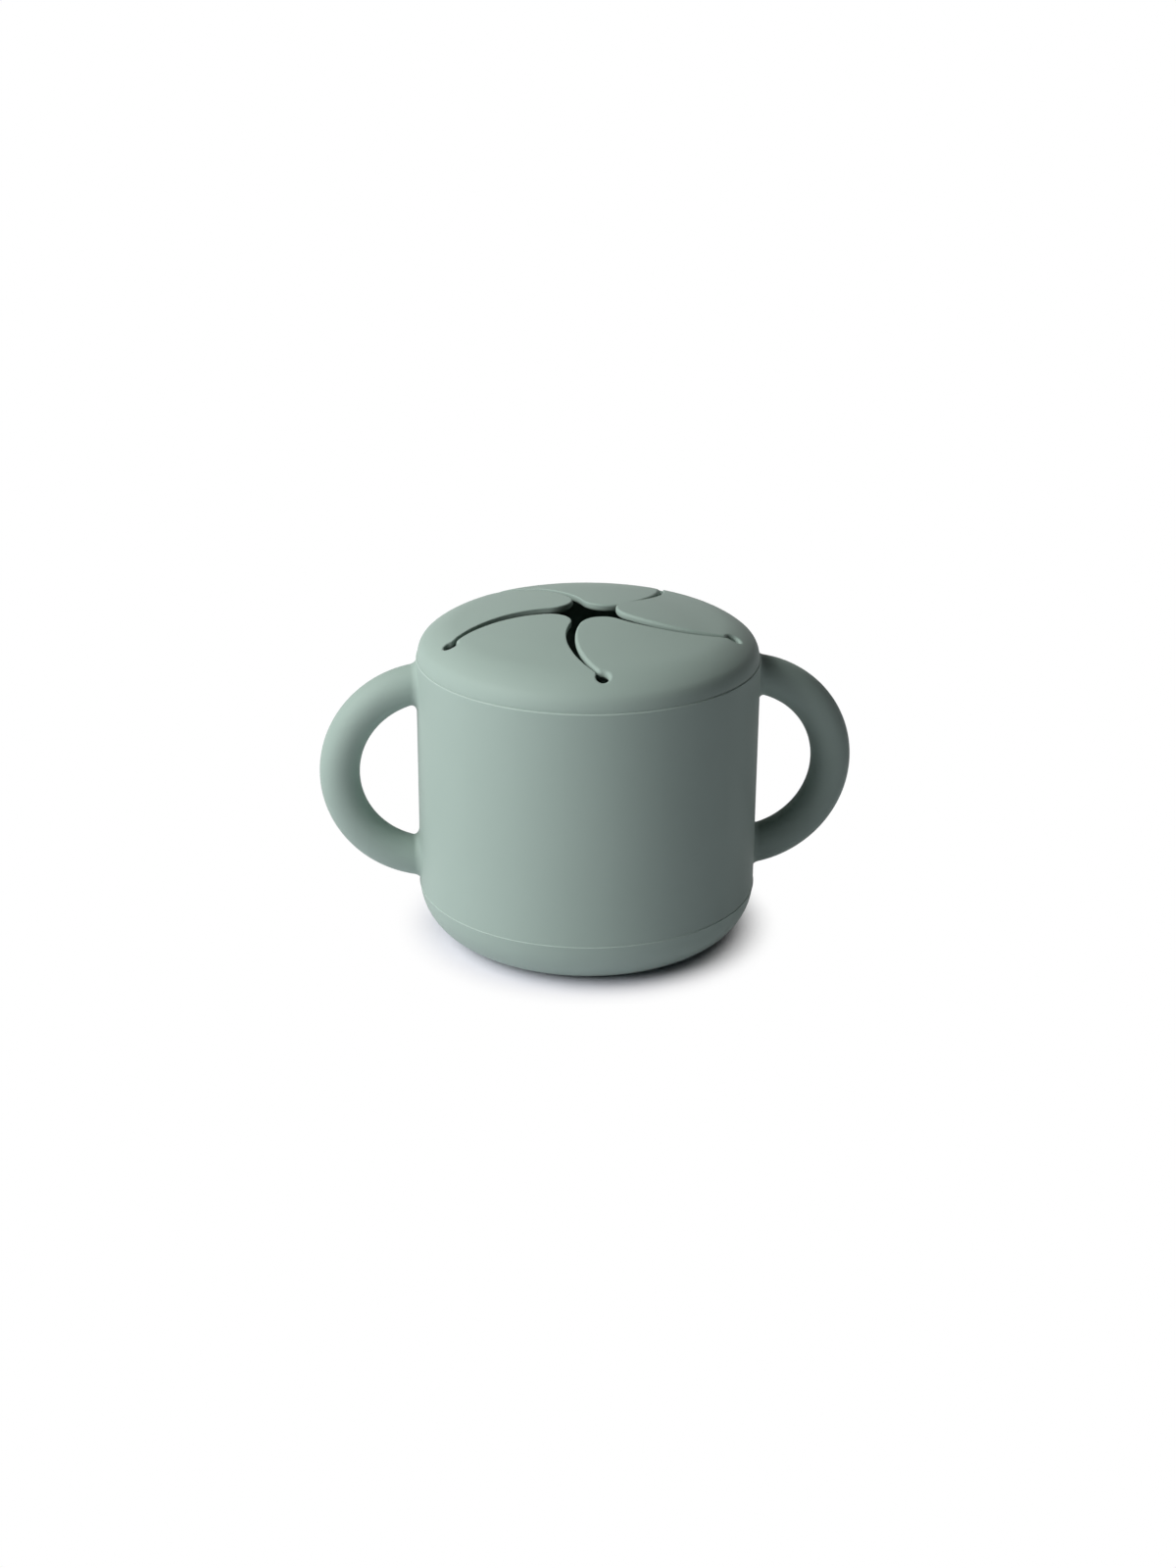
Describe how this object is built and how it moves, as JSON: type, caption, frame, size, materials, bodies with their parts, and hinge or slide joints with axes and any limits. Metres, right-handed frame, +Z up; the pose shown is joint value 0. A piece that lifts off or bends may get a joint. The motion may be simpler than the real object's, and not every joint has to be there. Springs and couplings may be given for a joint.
{
  "type": "toddler snack container",
  "caption": "Soft silicone snack cup for a toddler, with a ring handle on each side and a domed lid whose swirling slits leave flaps that a small hand pushes through.",
  "frame": {"origin": "middle of the base, on the surface that the cup stands on", "axes": "+Z up, +X towards the right handle, -Y towards the front as pictured"},
  "size_m": [0.1386, 0.088, 0.0876],
  "materials": {
    "cup_silicone": "matte sage green silicone",
    "lid_silicone": "matte sage green silicone"
  },
  "bodies": {
    "cup": {"cup": "cup_silicone", "handle_left": "cup_silicone", "handle_right": "cup_silicone"},
    "lid": {"lid": "lid_silicone"},
    "flap_1": {"flap_1": "lid_silicone"},
    "flap_2": {"flap_2": "lid_silicone"},
    "flap_3": {"flap_3": "lid_silicone"},
    "flap_4": {"flap_4": "lid_silicone"},
    "flap_5": {"flap_5": "lid_silicone"}
  },
  "joints": [
    {"name": "lid_lift", "type": "slide", "parent": "cup", "child": "lid", "axis": [0, 0, 1], "range_m": [0, 0.05]},
    {"name": "flap_1_bend", "type": "hinge", "parent": "lid", "child": "flap_1", "pos_m": [-0.01607, -0.02132, 0.08316], "axis": [0.7986, -0.6018, 0], "range_deg": [-60, 40], "stiffness_Nm_per_rad": 0.015},
    {"name": "flap_2_bend", "type": "hinge", "parent": "lid", "child": "flap_2", "pos_m": [0.01531, -0.02187, 0.08316], "axis": [0.8192, 0.5736, 0], "range_deg": [-60, 40], "stiffness_Nm_per_rad": 0.015},
    {"name": "flap_3_bend", "type": "hinge", "parent": "lid", "child": "flap_3", "pos_m": [0.02553, 0.00781, 0.08316], "axis": [-0.2924, 0.9563, 0], "range_deg": [-60, 40], "stiffness_Nm_per_rad": 0.015},
    {"name": "flap_4_bend", "type": "hinge", "parent": "lid", "child": "flap_4", "pos_m": [0.00047, 0.0267, 0.08316], "axis": [-0.9998, 0.0175, 0], "range_deg": [-60, 40], "stiffness_Nm_per_rad": 0.015},
    {"name": "flap_5_bend", "type": "hinge", "parent": "lid", "child": "flap_5", "pos_m": [-0.02525, 0.00869, 0.08316], "axis": [-0.3256, -0.9455, 0], "range_deg": [-60, 40], "stiffness_Nm_per_rad": 0.015}
  ]
}
